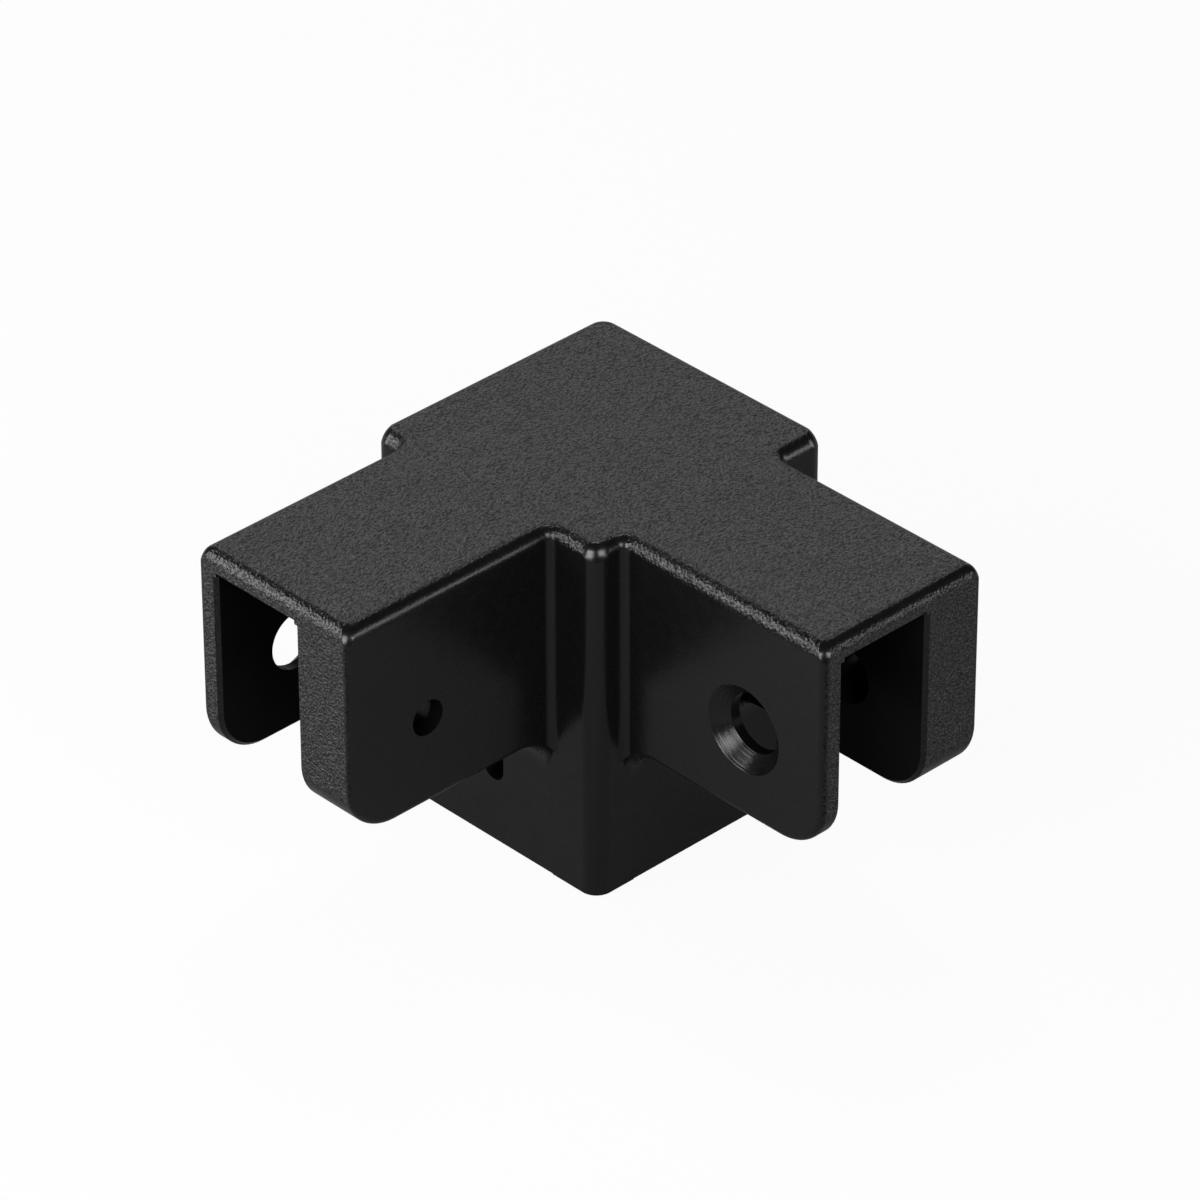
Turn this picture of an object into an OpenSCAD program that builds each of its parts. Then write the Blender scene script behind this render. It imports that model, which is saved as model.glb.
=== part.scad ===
// Leg bracket: a square leg socket with two rail channels at right angles, moulded in one piece.
// Millimetres, +Z up. The origin is on the leg socket's axis, in the plane of its open lower end.
// One arm runs along +X, the other along +Y, and the top of the block and of both arms is one face.

/* [Block] */
// Side of the square block
block_side = 50; // [48:0.5:60]
// Height of the block, from its open lower end to the top face
block_height = 65; // [58:0.5:80]
// Radius of the block's four upright edges
block_edge_r = 3; // [2.5:0.25:5]
// Thickness of the top over the leg socket and the channels
top_skin = 4; // [3:0.25:5]

/* [Leg socket] */
// Side of the square leg that goes into the block
leg_side = 40; // [36:0.5:41]
// Gap between the leg and the socket, over both sides together
leg_clearance = 0.8; // [0.2:0.1:1.5]
// Radius of the socket's upright inner edges
socket_edge_r = 1.5; // [0.5:0.25:3]

/* [Arms] */
// How far the +X arm stands out from the block
x_arm_reach = 42; // [40:0.5:60]
// How far the +Y arm stands out from the block
y_arm_reach = 43; // [40:0.5:60]
// Height of the arms' walls, from the top face to their lower edges
arm_depth = 38.6; // [36:0.1:44]
// Thickness of the board or rail that lies in a channel
rail_thickness = 17.5; // [16:0.5:19]
// Gap between the rail and the channel's walls, over both sides together
rail_clearance = 0.3; // [0.1:0.1:0.8]
// Distance of the channel's middle plane from the leg socket's axis
rail_offset = 5.7; // [4.5:0.1:6.5]
// Thickness of the arm's countersunk wall
thin_wall = 4.2; // [3.4:0.1:5]
// Thickness of the arm's wall with the bolt hole
thick_wall = 12; // [10:0.25:13]

/* [Edges] */
// Radius of the edges round the top face
top_edge_r = 2.4; // [1.5:0.1:2.5]
// Radius of the free lower corners of the arms' walls
wall_corner_r = 9; // [6:0.5:11]
// Radius of the outer edges of the arms' walls
wall_edge_r = 1.2; // [0.6:0.1:1.4]
// How much larger the ball at an arm's top corners is than the arm's upright edges
arm_ball_extra = 2.4; // [2.1:0.1:2.8]
// How much larger the ball at the block's top corners is than the block's upright edges
block_ball_extra = 1.4; // [1:0.1:2]
// Chamfer of the inner edges of the arms' walls and of the channel's mouth
mouth_chamfer = 0.7; // [0.4:0.05:1]
// Radius between the lower edge of an arm's wall and the block
arch_r = 7; // [5:0.25:8]
// Radius of the upright inside corners between an arm and the block
root_r = 1.5; // [1:0.1:2]
// Depth of the step that the mould's slide leaves on the block below an arm
slide_step = 0.12; // [0.05:0.01:0.2]
// Distance of that step's edge inside the arm's countersunk face
slide_inset = 2; // [0:0.25:3]

/* [Bolt holes] */
// Distance of the holes from the block, along the arm
bolt_from_block = 26; // [20:0.1:28]
// Height of the holes over the arm's lower edge
bolt_over_edge = 15.8; // [13:0.1:18]
// Diameter of the bolt hole in the thick wall
bolt_hole_d = 6.2; // [5.2:0.1:6.8]
// Thickness of the wall that is left round the bolt hole
bolt_hole_skin = 2.7; // [2:0.1:4]
// Diameter of the sleeve hole in the thin wall and of the sleeve's pocket in the thick wall
sleeve_hole_d = 10.2; // [9:0.1:11]
// Diameter of the countersink at the wall's outer face
sleeve_head_d = 15.2; // [14:0.1:16]

/* [Leg screw slots] */
// Width of the slot for a screw into the leg
screw_slot_w = 4.4; // [3.5:0.1:5.5]
// Length of the slot, end to end
screw_slot_length = 10; // [7:0.5:10]
// Height of the slot's lower end
screw_slot_z = 11.5; // [7:0.1:12]
// Distance of the slot from the block's middle plane, towards the thick wall
screw_slot_offset = 1.7; // [0:0.1:4]

/* [Hidden] */
$fn = 96;

// How far a cutting shape runs past what it cuts, and how deep an arm runs into the block
past = 1;
seat = 2.5;
// How far a corner's ball stands clear of the edges beside it where it starts
ball_margin = 0.06;

block_half = block_side / 2;
socket_side = leg_side + leg_clearance;
ceiling_z = block_height - top_skin;
floor_z = block_height - arm_depth;
arch_z = floor_z - arch_r;

slot_width = rail_thickness + rail_clearance;
slot_thin_y = -rail_offset - slot_width / 2;
slot_thick_y = slot_thin_y + slot_width;
thin_face_y = slot_thin_y - thin_wall;
thick_face_y = slot_thick_y + thick_wall;

bolt_x = block_half + bolt_from_block;
bolt_z = floor_z + bolt_over_edge;
countersink_depth = (sleeve_head_d - sleeve_hole_d) / 2;

black_plastic = [0.06, 0.06, 0.065];

// Extrusions of a flat outline: (Y, Z) along X, and (X, Z) along Y
module along_x(x0, x1) {
    translate([x0, 0, 0])
        rotate([90, 0, 90])
            linear_extrude(x1 - x0)
                children();
}

module along_y(y0, y1) {
    translate([0, y1, 0])
        rotate([90, 0, 0])
            linear_extrude(y1 - y0)
                children();
}

// Section from a to b, with the top face's rounded edges
module round_topped(a, b, bottom) {
    edge_z = block_height - top_edge_r;
    translate([a, bottom])
        square([b - a, edge_z - bottom]);
    translate([a + top_edge_r, bottom])
        square([b - a - 2 * top_edge_r, block_height - bottom]);
    for (x = [a + top_edge_r, b - top_edge_r])
        translate([x, edge_z])
            circle(top_edge_r);
}

// Upright corner post of the block, whose top edge is rounded like the faces beside it
module corner_post() {
    rotate_extrude()
        intersection() {
            round_topped(-block_edge_r, block_edge_r, 0);
            square([block_edge_r, block_height]);
        }
}

// What is cut off a top corner so that a ball is left there, larger than the rounding of the
// corner's edges. The corner is the origin, and the solid lies at negative x, y and z
module outside_ball(upright_r, extra) {
    ball_r = upright_r + extra;
    inset = upright_r + extra / sqrt(2) - ball_margin;
    drop = sqrt(pow(ball_r - top_edge_r, 2) - pow(inset - top_edge_r, 2));
    depth = top_edge_r + drop - ball_margin;
    translate([-inset, -inset, -depth])
        difference() {
            cube([inset + past, inset + past, depth + past]);
            sphere(ball_r);
        }
}

module block_body() {
    flat_half = block_half - block_edge_r;
    difference() {
        union() {
            along_x(-flat_half, flat_half)
                round_topped(-block_half, block_half, 0);
            along_y(-flat_half, flat_half)
                round_topped(-block_half, block_half, 0);
            for (x = [-flat_half, flat_half], y = [-flat_half, flat_half])
                translate([x, y, 0])
                    corner_post();
        }
        for (turn = [0, 90, 180, 270])
            rotate(turn)
                translate([block_half, block_half, block_height])
                    outside_ball(block_edge_r, block_ball_extra);
    }
}

// Outline of an arm seen from its side, from inside the block to its free end
module arm_outline(end_x) {
    start_x = block_half - seat;
    corner_x = end_x - wall_corner_r;
    corner_z = floor_z + wall_corner_r;
    edge_z = block_height - top_edge_r;
    translate([start_x, floor_z])
        square([corner_x - start_x, arm_depth]);
    translate([corner_x, corner_z])
        square([wall_corner_r, edge_z - corner_z]);
    translate([corner_x, edge_z])
        square([wall_corner_r - top_edge_r, top_edge_r]);
    translate([corner_x, corner_z])
        circle(wall_corner_r);
    translate([end_x - top_edge_r, edge_z])
        circle(top_edge_r);
    difference() {
        translate([start_x, arch_z])
            square([seat + arch_r, arch_r]);
        translate([block_half + arch_r, arch_z])
            circle(arch_r);
    }
}

// Outlines that are cut away along an edge: the solid lies at negative x and y of the edge
module rounding(r) {
    difference() {
        translate([-r, -r])
            square(r + past);
        translate([-r, -r])
            circle(r);
    }
}

module chamfer(c) {
    polygon([[-c - past, past], [past, -c - past], [past, past]]);
}

// Sweeps such an outline along the free edge of a wall whose face is the plane y = 0:
// down the end of the arm, round the lower corner, along the lower edge and down the arch
module sweep_wall_edge(end_x, top_z) {
    corner_x = end_x - wall_corner_r;
    corner_z = floor_z + wall_corner_r;
    arch_x = block_half + arch_r;
    translate([end_x, 0, corner_z])
        linear_extrude(top_z - corner_z)
            children();
    translate([corner_x, 0, corner_z])
        rotate([-90, 0, 0])
            rotate_extrude(angle = 90)
                translate([wall_corner_r, 0])
                    children();
    along_x(arch_x, corner_x)
        translate([0, floor_z])
            rotate(-90)
                children();
    translate([arch_x, 0, arch_z])
        rotate([-90, 0, 0])
            rotate([0, 0, 180])
                rotate_extrude(angle = 90)
                    translate([arch_r, 0])
                        mirror([1, 0])
                            children();
}

// Space between the walls, with the chamfer round its mouth
module channel(end_x) {
    translate([block_half, slot_thin_y, arch_z - past])
        cube([end_x + past - block_half, slot_width, ceiling_z - arch_z + past]);
    translate([0, slot_thin_y, 0])
        sweep_wall_edge(end_x, ceiling_z)
            chamfer(mouth_chamfer);
    translate([0, slot_thick_y, 0])
        mirror([0, 1, 0])
            sweep_wall_edge(end_x, ceiling_z)
                chamfer(mouth_chamfer);
    along_y(slot_thin_y, slot_thick_y)
        translate([end_x, ceiling_z])
            mirror([0, 1])
                chamfer(mouth_chamfer);
}

// Countersunk sleeve hole, in the thin wall
module sleeve_hole() {
    radius = sleeve_hole_d / 2;
    translate([bolt_x, thin_face_y - past, bolt_z])
        rotate([-90, 0, 0]) {
            cylinder(h = thin_wall + 2 * past, r = radius);
            cylinder(h = past + countersink_depth, r1 = radius + countersink_depth + past, r2 = radius);
        }
}

// Bolt hole through the thick wall's skin, and the sleeve's pocket behind it
module bolt_hole() {
    translate([bolt_x, slot_thick_y - past, bolt_z])
        rotate([-90, 0, 0]) {
            cylinder(h = thick_wall + 2 * past, d = bolt_hole_d);
            cylinder(h = past + thick_wall - bolt_hole_skin, d = sleeve_hole_d);
        }
}

// Filled inside corner between the arm and the block, whose top edge runs on round the corner
module root_fillet() {
    reach = top_edge_r + root_r;
    edge_z = block_height - top_edge_r;
    difference() {
        translate([-top_edge_r, -top_edge_r, arch_z])
            cube([reach, reach, arm_depth + arch_r]);
        translate([root_r, root_r, 0])
            rotate_extrude()
                difference() {
                    square([reach, block_height + past]);
                    translate([root_r, 0])
                        square([reach, edge_z]);
                    translate([reach, edge_z])
                        circle(top_edge_r);
                }
        along_y(-reach, reach)
            translate([arch_r, arch_z])
                circle(arch_r + wall_edge_r);
    }
}

// One arm along +X, with its walls, channel and holes
module arm(reach) {
    end_x = block_half + reach;
    difference() {
        intersection() {
            along_y(thin_face_y, thick_face_y)
                arm_outline(end_x);
            along_x(block_half - seat, end_x)
                round_topped(thin_face_y, thick_face_y, arch_z);
        }
        channel(end_x);
        sleeve_hole();
        bolt_hole();
        translate([0, thick_face_y, 0])
            sweep_wall_edge(end_x, block_height + past)
                rounding(wall_edge_r);
        translate([0, thin_face_y, 0])
            mirror([0, 1, 0])
                sweep_wall_edge(end_x, block_height + past)
                    rounding(wall_edge_r);
        translate([end_x, thick_face_y, block_height])
            outside_ball(wall_edge_r, arm_ball_extra);
        translate([end_x, thin_face_y, block_height])
            mirror([0, 1, 0])
                outside_ball(wall_edge_r, arm_ball_extra);
    }
    translate([block_half, thick_face_y, 0])
        root_fillet();
    translate([block_half, thin_face_y, 0])
        mirror([0, 1, 0])
            root_fillet();
}

// Slot through the block's +X wall for a screw into the leg
module screw_slot() {
    low_z = screw_slot_z + screw_slot_w / 2;
    high_z = screw_slot_z + screw_slot_length - screw_slot_w / 2;
    along_x(socket_side / 2 - past, block_half + past)
        translate([screw_slot_offset, 0]) {
            translate([-screw_slot_w / 2, low_z])
                square([screw_slot_w, high_z - low_z]);
            for (z = [low_z, high_z])
                translate([0, z])
                    circle(d = screw_slot_w);
        }
}

// Shallow step on the block's +X face, where the mould's slide shuts off
module slide_mark() {
    start_y = thin_face_y + slide_inset;
    translate([block_half - slide_step, start_y, -past])
        cube([past, thick_face_y - start_y, arch_z + past]);
}

module leg_socket() {
    inner = socket_side / 2 - socket_edge_r;
    translate([0, 0, -past])
        linear_extrude(ceiling_z + past) {
            square([socket_side, 2 * inner], center = true);
            square([2 * inner, socket_side], center = true);
            for (x = [-inner, inner], y = [-inner, inner])
                translate([x, y])
                    circle(socket_edge_r);
        }
}

// Both sides of the block that carry an arm are alike, a quarter turn apart
module leg_bracket() {
    color(black_plastic)
        difference() {
            union() {
                difference() {
                    block_body();
                    for (turn = [0, 90])
                        rotate(turn)
                            slide_mark();
                }
                arm(x_arm_reach);
                rotate(90)
                    arm(y_arm_reach);
            }
            leg_socket();
            for (turn = [0, 90])
                rotate(turn)
                    screw_slot();
        }
}

leg_bracket();
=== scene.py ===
"""A black moulded leg bracket, standing on its open lower end in plain soft studio light. Metres, +Z up."""

import math

import bpy
from mathutils import Matrix, Vector

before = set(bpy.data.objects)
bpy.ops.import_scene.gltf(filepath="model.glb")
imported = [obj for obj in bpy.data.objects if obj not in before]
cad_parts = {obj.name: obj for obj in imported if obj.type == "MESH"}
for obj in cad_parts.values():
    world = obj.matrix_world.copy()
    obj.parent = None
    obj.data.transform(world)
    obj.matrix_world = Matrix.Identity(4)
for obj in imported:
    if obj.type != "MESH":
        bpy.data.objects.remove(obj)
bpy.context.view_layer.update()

MM = 0.001

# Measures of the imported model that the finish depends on
X_ARM_END = 67.0 * MM
Y_ARM_END = 68.0 * MM
HOLE_ALONG_ARM = 51.0 * MM
HOLE_HEIGHT = 42.2 * MM
THIN_WALL_OUTSIDE = 18.8 * MM
TOP = 65.0 * MM
CHANNEL_MIDDLE = 5.7 * MM
CHANNEL_HALF = 8.9 * MM
CHANNEL_ROOF = 61.0 * MM
BLOCK_HALF = 25.0 * MM
THICK_WALL_OUTSIDE = 15.2 * MM
SLEEVE_RADIUS = 5.1 * MM
HEAD_RADIUS = 7.6 * MM
HEAD_DEPTH = 2.5 * MM

# Distances behind a plane at which a mask begins and is full
TOP_SKIN = (0.4 * MM, 0.1 * MM)
TOP_EDGE = (2.8 * MM, 1.8 * MM)
END_SKIN = (1.5 * MM, 0.2 * MM)
END_CORNER = (5.0 * MM, 4.0 * MM)
BLOCK_CORNER = (4.2 * MM, 3.8 * MM)

# Components of a face's normal at which a mask begins and is full, and for the last one the product of x and y
SQUARE_ON = (0.93, 0.995)
TURNED_TO_END = (0.5, 0.9)
TURNED_TO_Y = (0.15, 0.5)
TURNED_BOTH_WAYS = (0.004, 0.03)

# Margins that keep a face on one side of a mask's limit
CONE_MARGIN = 0.02 * MM
SIDE_MARGIN = 0.05 * MM
PLANE_MARGIN = 0.1 * MM
OUTER_FACE_MARGIN = 0.2 * MM

# Noise textures: scale, detail and roughness
WAVES = (60.0, 1.0, 0.5)
MOTTLE = (420.0, 3.0, 0.6)
PEBBLES = (2500.0, 2.0, 0.5)
TURNING = (3200.0, 3.0, 0.7)

# Rounded cells that are taken from the pebbles
CELL_SCALE = 2200.0
CELL_SMOOTHNESS = 0.8
CELL_WEIGHT = -0.6

# Relief as bump distances, the share of the grain that rounded edges keep, and the share of that which faces +Y
WAVE_DEPTH = 0.10 * MM
GRAIN_DEPTH = 0.65 * MM
RING_DEPTH = 0.15 * MM
EDGE_GRAIN = 0.22
Y_EDGE_GRAIN = 0.2

# Colour, roughness and gloss of the plastic
SMOOTH_BLACK = (0.004, 0.004, 0.0041, 1)
GRAINED_BLACK = (0.015, 0.015, 0.0155, 1)
SMOOTH_ROUGHNESS = 0.26
GRAINED_ROUGHNESS = 0.33
MOTTLE_SPAN = (0.3, 0.7)
MOTTLE_ROUGHNESS = 0.03
POLISH = 0.05
OUTER_GLOSS = 0.5
# Gloss of the insides of the channels and holes, lowered as painted shade in these recesses
SHADED_INSIDE_GLOSS = 0.04
PEBBLE_SPAN = (0.0, 0.45)
PIT_GLOSS_LOSS = 0.7
PEAK_GLOSS_GAIN = 0.3
PLASTIC_IOR = 1.5

# The floor
FLOOR_SIZE = 6.0
FLOOR_GAP = 0.1 * MM
FLOOR_PALE = (0.8, 0.8, 0.8, 1)
FLOOR_GREY = (0.25, 0.25, 0.25, 1)
FLOOR_WHITE = (1, 1, 1, 1)
FLOOR_LIFT = 0.93

# The lights. Soft boxes: name, azimuth and elevation in degrees, distance, width and height, watts
WORLD_GREY = (0.03, 0.03, 0.03, 1)
LIT_POINT = (0.01, 0.01, 0.04)
SOFTBOXES = (
    ("left_box", 48.0, 14.0, 0.6, (0.72, 0.45), 4.7),
    ("back_box", 316.0, 18.0, 1.1, (1.3, 0.68), 2.3),
    ("top_box", 316.0, 64.0, 1.0, (0.40, 0.40), 2.2),
    ("front_left_box", 110.0, 25.0, 0.9, (0.40, 0.45), 4.6),
    ("front_right_box", 162.0, 30.0, 0.9, (0.35, 0.30), 2.6),
    ("right_box", 224.0, 4.0, 0.9, (1.0, 0.40), 3.6),
)

# The photograph's view, from a camera fitted to the bracket's edges. Lens in millimetres, angles in degrees
LENS = 227.7
SENSOR_WIDTH = 36.0
VIEW_AZIMUTH = 136.17
VIEW_ELEVATION = 33.45
VIEW_ROLL = -0.13
VIEW_DISTANCE = 1.185
VIEW_POINT = (10.0 * MM, 10.0 * MM, 40.0 * MM)
VIEW_SHIFT_RIGHT = 0.3 * MM
VIEW_SHIFT_UP = 2.0 * MM


class Shader:
    """Builds one material's nodes. Its methods from math to mix_shaders return output sockets."""

    def __init__(self, name):
        self.material = bpy.data.materials.new(name)
        self.material.use_nodes = True
        self.tree = self.material.node_tree
        self.tree.nodes.clear()

    def node(self, kind, inputs=(), **settings):
        made = self.tree.nodes.new(kind)
        for key, value in settings.items():
            setattr(made, key, value)
        for name, value in dict(inputs).items():
            self.feed(made.inputs[name], value)
        return made

    def feed(self, socket, value):
        if isinstance(value, bpy.types.NodeSocket):
            self.tree.links.new(value, socket)
        else:
            socket.default_value = value

    def math(self, operation, a, b=0.0):
        made = self.node("ShaderNodeMath", operation=operation)
        self.feed(made.inputs[0], a)
        self.feed(made.inputs[1], b)
        return made.outputs[0]

    def both(self, a, b):
        return self.math("MULTIPLY", a, b)

    def either(self, a, b):
        return self.math("MAXIMUM", a, b)

    def rise(self, value, low, high, start=0.0, end=1.0):
        """Goes smoothly from start to end as value goes from low to high."""
        inputs = {"Value": value, "From Min": low, "From Max": high, "To Min": start, "To Max": end}
        made = self.node("ShaderNodeMapRange", inputs, interpolation_type="SMOOTHSTEP")
        return made.outputs["Result"]

    def near(self, value, plane, band):
        """Goes smoothly from 0 to 1 as value comes up to a plane, inside a band behind it."""
        begins, full = band
        return self.rise(value, plane - begins, plane - full)

    def split(self, vector):
        return self.node("ShaderNodeSeparateXYZ", {"Vector": vector}).outputs

    def noise(self, place, texture):
        scale, detail, roughness = texture
        inputs = {"Vector": place, "Scale": scale, "Detail": detail, "Roughness": roughness}
        return self.node("ShaderNodeTexNoise", inputs).outputs["Fac"]

    def bump(self, height, distance, normal=None):
        inputs = {"Height": height, "Distance": distance}
        if normal is not None:
            inputs["Normal"] = normal
        return self.node("ShaderNodeBump", inputs).outputs["Normal"]

    def mix_colours(self, factor, first, second):
        """The node has an output for each type of value, and the third is the colour."""
        made = self.node("ShaderNodeMix", {"Factor": factor, "A": first, "B": second}, data_type="RGBA")
        return made.outputs[2]

    def mix_shaders(self, factor, first, second):
        made = self.node("ShaderNodeMixShader", {"Fac": factor})
        self.feed(made.inputs[1], first)
        self.feed(made.inputs[2], second)
        return made.outputs[0]

    def surface(self, shader):
        """Puts a shader on the surface, and returns the finished material."""
        self.node("ShaderNodeOutputMaterial", {"Surface": shader})
        return self.material


def grained_faces(s, place, facing):
    """Masks of the top and the arms' ends, which are grained: of their flats, and of these with rounded edges."""
    x, y, z = place
    nx, ny, nz = facing
    flats = s.both(s.near(z, TOP, TOP_SKIN), s.rise(nz, *SQUARE_ON))
    edges = s.both(s.near(z, TOP, TOP_EDGE), s.rise(ny, *TURNED_TO_Y, 1.0, Y_EDGE_GRAIN))
    for along, end, n in ((x, X_ARM_END, nx), (y, Y_ARM_END, ny)):
        at_end = s.near(along, end, END_SKIN)
        flats = s.either(flats, s.both(at_end, s.rise(n, *SQUARE_ON)))
        edges = s.either(edges, s.both(at_end, s.rise(n, *TURNED_TO_END)))
    return flats, edges


def polished_corners(s, place, facing):
    """Mask of the upright edges of the block and of the arms' ends, up to their ball corners. They have no grain."""
    x, y, _ = place
    block_corner = s.math("MINIMUM", s.math("ABSOLUTE", x), s.math("ABSOLUTE", y))
    where = s.near(block_corner, BLOCK_HALF, BLOCK_CORNER)
    for along, end in ((x, X_ARM_END), (y, Y_ARM_END)):
        where = s.either(where, s.near(along, end, END_CORNER))
    both_ways = s.math("ABSOLUTE", s.math("MULTIPLY", facing[0], facing[1]))
    return s.both(where, s.rise(both_ways, *TURNED_BOTH_WAYS))


def arms(s, place):
    """For each arm, the distance along it and the distance across it, towards its thin wall."""
    x, y, _ = place
    return (x, s.math("MULTIPLY", y, -1.0)), (y, x)


def countersink(s, along, outward, height):
    """Distance from the axis of an arm's holes, and a mask of their countersunk cone."""
    across = s.math("SUBTRACT", along, HOLE_ALONG_ARM)
    above = s.math("SUBTRACT", height, HOLE_HEIGHT)
    squares = s.math("ADD", s.math("MULTIPLY", across, across), s.math("MULTIPLY", above, above))
    radius = s.math("SQRT", squares)
    inside = s.math("LESS_THAN", radius, HEAD_RADIUS - SIDE_MARGIN)
    outer = s.math("GREATER_THAN", outward, THIN_WALL_OUTSIDE - HEAD_DEPTH - CONE_MARGIN)
    return radius, s.both(inside, outer)


def shaded_insides(s, place):
    """Mask of the insides of the rail channels and of the bolt and sleeve holes, where lowered gloss is painted
    shade.
    """
    height = place[2]
    inside = 0.0
    for along, outward in arms(s, place):
        off_middle = s.math("ABSOLUTE", s.math("SUBTRACT", outward, CHANNEL_MIDDLE))
        channel = s.both(s.math("LESS_THAN", off_middle, CHANNEL_HALF + SIDE_MARGIN),
                         s.math("LESS_THAN", height, CHANNEL_ROOF + PLANE_MARGIN))
        radius, _ = countersink(s, along, outward, height)
        bore = s.both(s.math("LESS_THAN", radius, SLEEVE_RADIUS + SIDE_MARGIN),
                      s.math("GREATER_THAN", outward, OUTER_FACE_MARGIN - THICK_WALL_OUTSIDE))
        arm = s.math("GREATER_THAN", along, BLOCK_HALF + PLANE_MARGIN)
        inside = s.either(inside, s.both(arm, s.either(channel, bore)))
    return inside


def turned_rings(s, place):
    """Height of the rings turned into both countersunk cones, and a mask of the cones."""
    cones, radii = 0.0, 0.0
    for along, outward in arms(s, place):
        radius, cone = countersink(s, along, outward, place[2])
        cones = s.either(cones, cone)
        radii = s.math("ADD", radii, s.math("MULTIPLY", radius, cone))
    profile = s.node("ShaderNodeCombineXYZ", {"X": radii}).outputs[0]
    return s.math("MULTIPLY", s.noise(profile, TURNING), cones), cones


def pebbled(s, spot):
    """Height of the mould's grain."""
    inputs = {"Vector": spot, "Scale": CELL_SCALE, "Smoothness": CELL_SMOOTHNESS}
    cells = s.node("ShaderNodeTexVoronoi", inputs, feature="SMOOTH_F1").outputs["Distance"]
    return s.math("ADD", s.noise(spot, PEBBLES), s.math("MULTIPLY", cells, CELL_WEIGHT))


def black_plastic():
    """Satin black plastic, with grained flats, smooth walls, turned countersinks, and insides whose gloss is lowered
    as painted shade.
    """
    s = Shader("black_plastic")
    spot = s.node("ShaderNodeTexCoord").outputs["Object"]
    place = s.split(spot)
    facing = s.split(s.node("ShaderNodeNewGeometry").outputs["Normal"])

    flats, edges = grained_faces(s, place, facing)
    rings, cones = turned_rings(s, place)
    plain = s.either(polished_corners(s, place, facing), cones)
    pebbles = pebbled(s, spot)

    depth = s.either(flats, s.math("MULTIPLY", edges, EDGE_GRAIN))
    depth = s.math("MULTIPLY", depth, s.math("SUBTRACT", 1.0, plain))
    normal = s.bump(s.noise(spot, WAVES), WAVE_DEPTH)
    normal = s.bump(s.math("MULTIPLY", pebbles, depth), GRAIN_DEPTH, normal)
    normal = s.bump(rings, RING_DEPTH, normal)

    mottle = s.rise(s.noise(spot, MOTTLE), *MOTTLE_SPAN, -MOTTLE_ROUGHNESS, MOTTLE_ROUGHNESS)
    roughness = s.math("ADD", s.rise(flats, 0.0, 1.0, SMOOTH_ROUGHNESS, GRAINED_ROUGHNESS), mottle)
    roughness = s.math("SUBTRACT", roughness, s.math("MULTIPLY", plain, POLISH))

    # The insides of the channels and holes lose gloss: painted shade in these recesses
    gloss = s.rise(shaded_insides(s, place), 0.0, 1.0, OUTER_GLOSS, SHADED_INSIDE_GLOSS)
    loss = s.rise(pebbles, *PEBBLE_SPAN, PIT_GLOSS_LOSS, -PEAK_GLOSS_GAIN)
    loss = s.math("MULTIPLY", s.either(flats, edges), loss)
    gloss = s.math("MULTIPLY", gloss, s.math("SUBTRACT", 1.0, loss))

    plastic = {
        "Base Color": s.mix_colours(flats, SMOOTH_BLACK, GRAINED_BLACK),
        "Roughness": roughness,
        "Normal": normal,
        "Specular IOR Level": gloss,
        "IOR": PLASTIC_IOR,
    }
    return s.surface(s.node("ShaderNodeBsdfPrincipled", plastic).outputs[0])


def studio_floor():
    """A pale floor, lifted to white for the camera, where it keeps some of the bracket's shadow.

    For every other ray it is grey, since the bracket's side walls mirror it and are nearly black in the photograph.
    """
    s = Shader("studio_floor")
    pale = s.node("ShaderNodeBsdfDiffuse", {"Color": FLOOR_PALE}).outputs[0]
    grey = s.node("ShaderNodeBsdfDiffuse", {"Color": FLOOR_GREY}).outputs[0]
    white = s.node("ShaderNodeEmission", {"Color": FLOOR_WHITE, "Strength": 1.0}).outputs[0]
    seen = s.node("ShaderNodeLightPath").outputs["Is Camera Ray"]
    return s.surface(s.mix_shaders(seen, grey, s.mix_shaders(FLOOR_LIFT, pale, white)))


def add_floor():
    bpy.ops.mesh.primitive_plane_add(size=FLOOR_SIZE, location=(0, 0, -FLOOR_GAP))
    floor = bpy.context.object
    floor.name = "floor"
    floor.data.materials.append(studio_floor())


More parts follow.
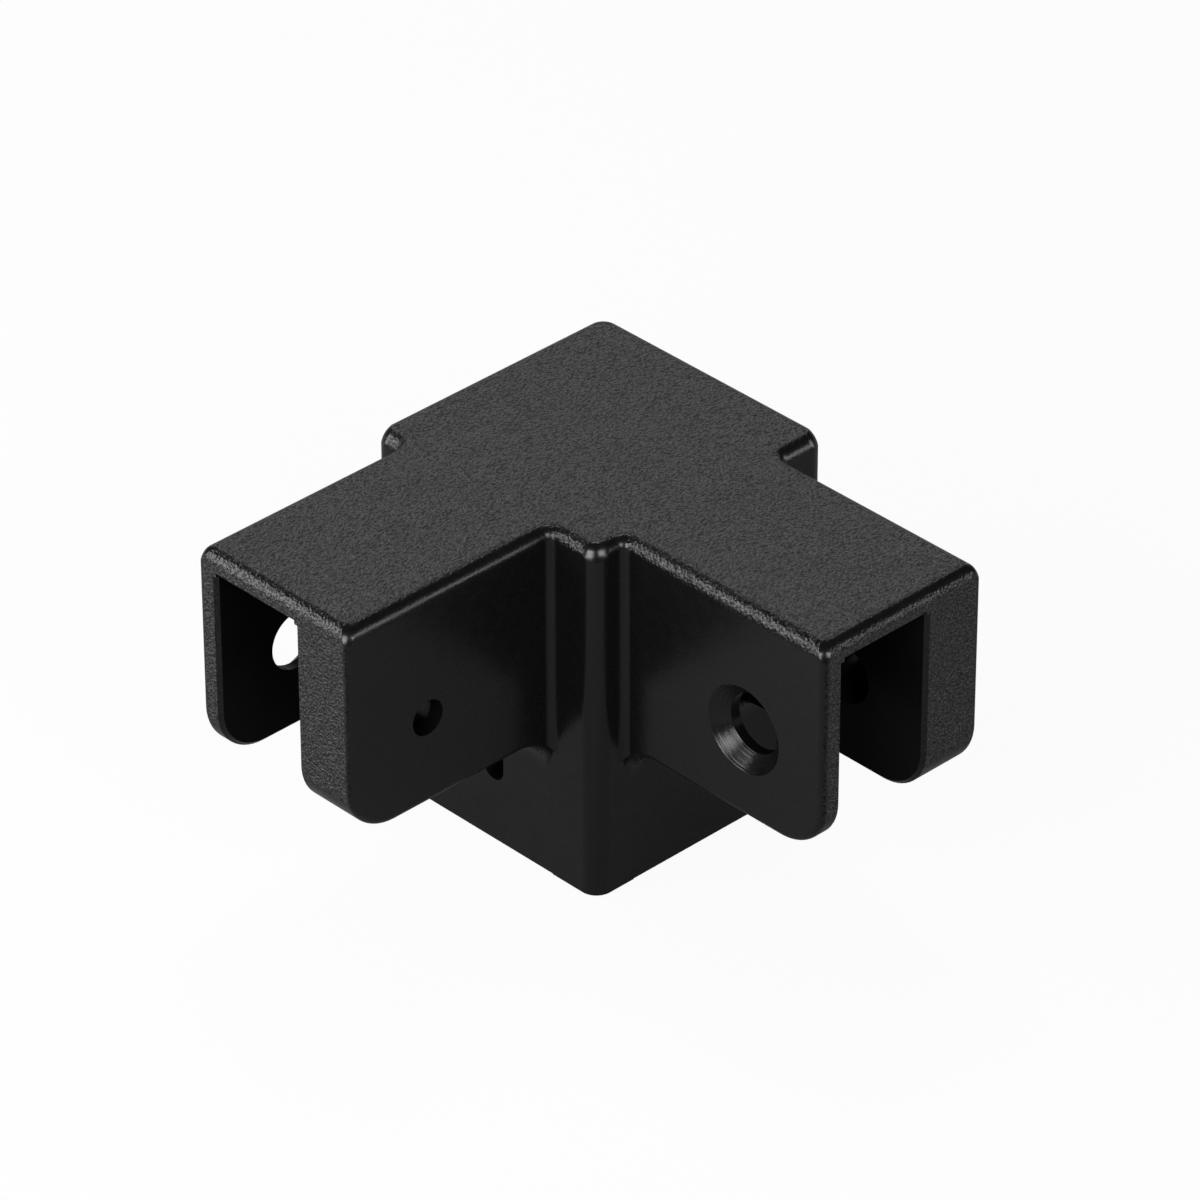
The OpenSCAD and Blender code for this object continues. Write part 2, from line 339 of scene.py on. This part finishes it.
def direction(azimuth, elevation):
    """From the bracket outwards. Azimuth 0 is -Y and 90 is +X."""
    a, e = math.radians(azimuth), math.radians(elevation)
    return Vector((math.sin(a) * math.cos(e), -math.cos(a) * math.cos(e), math.sin(e)))


def add_softbox(name, azimuth, elevation, distance, size, watts):
    lamp = bpy.data.lights.new(name, "AREA")
    lamp.shape = "RECTANGLE"
    lamp.size, lamp.size_y = size
    lamp.energy = watts
    box = bpy.data.objects.new(name, lamp)
    out = direction(azimuth, elevation)
    box.location = Vector(LIT_POINT) + out * distance
    box.rotation_euler = out.to_track_quat("Z", "Y").to_euler()
    box.visible_camera = False
    bpy.context.scene.collection.objects.link(box)


def add_lights():
    world = bpy.data.worlds.new("studio")
    world.use_nodes = True
    world.node_tree.nodes["Background"].inputs["Color"].default_value = WORLD_GREY
    bpy.context.scene.world = world
    for softbox in SOFTBOXES:
        add_softbox(*softbox)


def add_camera():
    """The photograph's view: a long lens from beyond the arms' ends, a third of the way up."""
    data = bpy.data.cameras.new("camera")
    data.lens = LENS
    data.sensor_width = SENSOR_WIDTH
    camera = bpy.data.objects.new("camera", data)
    azimuth, roll = math.radians(VIEW_AZIMUTH), math.radians(VIEW_ROLL)
    back = direction(VIEW_AZIMUTH, VIEW_ELEVATION)
    level = Vector((math.cos(azimuth), math.sin(azimuth), 0))
    upright = back.cross(level)
    right = level * math.cos(roll) + upright * math.sin(roll)
    up = upright * math.cos(roll) - level * math.sin(roll)
    target = Vector(VIEW_POINT) + right * VIEW_SHIFT_RIGHT + up * VIEW_SHIFT_UP
    turn = Matrix((right, up, back)).transposed().to_4x4()
    camera.matrix_world = Matrix.Translation(target + back * VIEW_DISTANCE) @ turn
    bpy.context.scene.collection.objects.link(camera)
    bpy.context.scene.camera = camera


def dress_bracket():
    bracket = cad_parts["leg_bracket"]
    bracket.data.materials.clear()
    bracket.data.materials.append(black_plastic())


dress_bracket()
add_floor()
add_lights()
add_camera()
bpy.context.scene.view_settings.view_transform = "Standard"
